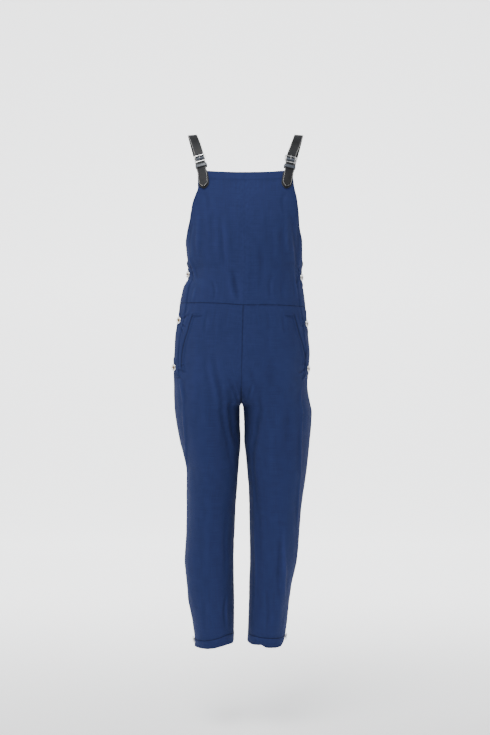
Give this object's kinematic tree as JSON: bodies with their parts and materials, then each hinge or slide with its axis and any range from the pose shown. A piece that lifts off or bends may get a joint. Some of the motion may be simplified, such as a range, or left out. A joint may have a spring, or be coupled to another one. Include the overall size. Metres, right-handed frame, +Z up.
{
  "type": "bib overalls (dungarees) in woven cloth with leather shoulder straps",
  "caption": "Worn bib overalls in navy cloth: hollow bib and legs, side plackets with ring snaps, slanted pockets and buckled black leather straps.",
  "frame": {"origin": "midway between the two shoulder straps, level with the top of the shoulders that carry them", "axes": "+Z up, -Y towards the front of the garment, +X towards the wearer's left"},
  "size_m": [0.3377, 0.2567, 1.2507],
  "materials": {
    "navy_cloth": "fine weave with a faint slub, soft matt sheen",
    "strap_leather": "smooth black leather with pale edge stitching, half gloss",
    "bright_metal": "polished nickel"
  },
  "bodies": {
    "root": {"bib_front": "navy_cloth", "bib_back": "navy_cloth", "trouser_front_left": "navy_cloth", "trouser_front_right": "navy_cloth", "trouser_back_left": "navy_cloth", "trouser_back_right": "navy_cloth", "hem_band_left": "navy_cloth", "hem_band_right": "navy_cloth", "side_placket_left": "navy_cloth", "side_placket_right": "navy_cloth", "pocket_edge_left": "navy_cloth", "pocket_edge_right": "navy_cloth", "strap_left": "strap_leather", "strap_right": "strap_leather", "strap_tab_left": "strap_leather", "strap_tab_right": "strap_leather", "strap_keeper_left": "strap_leather", "strap_keeper_right": "strap_leather", "buckle_left": "bright_metal", "buckle_right": "bright_metal", "buckle_prong_left": "bright_metal", "buckle_prong_right": "bright_metal", "snap_waist_left": "bright_metal", "snap_waist_right": "bright_metal", "snap_hip_left": "bright_metal", "snap_hip_right": "bright_metal", "snap_thigh_left": "bright_metal", "snap_thigh_right": "bright_metal", "snap_hem_left": "bright_metal", "snap_hem_right": "bright_metal"}
  },
  "joints": []
}
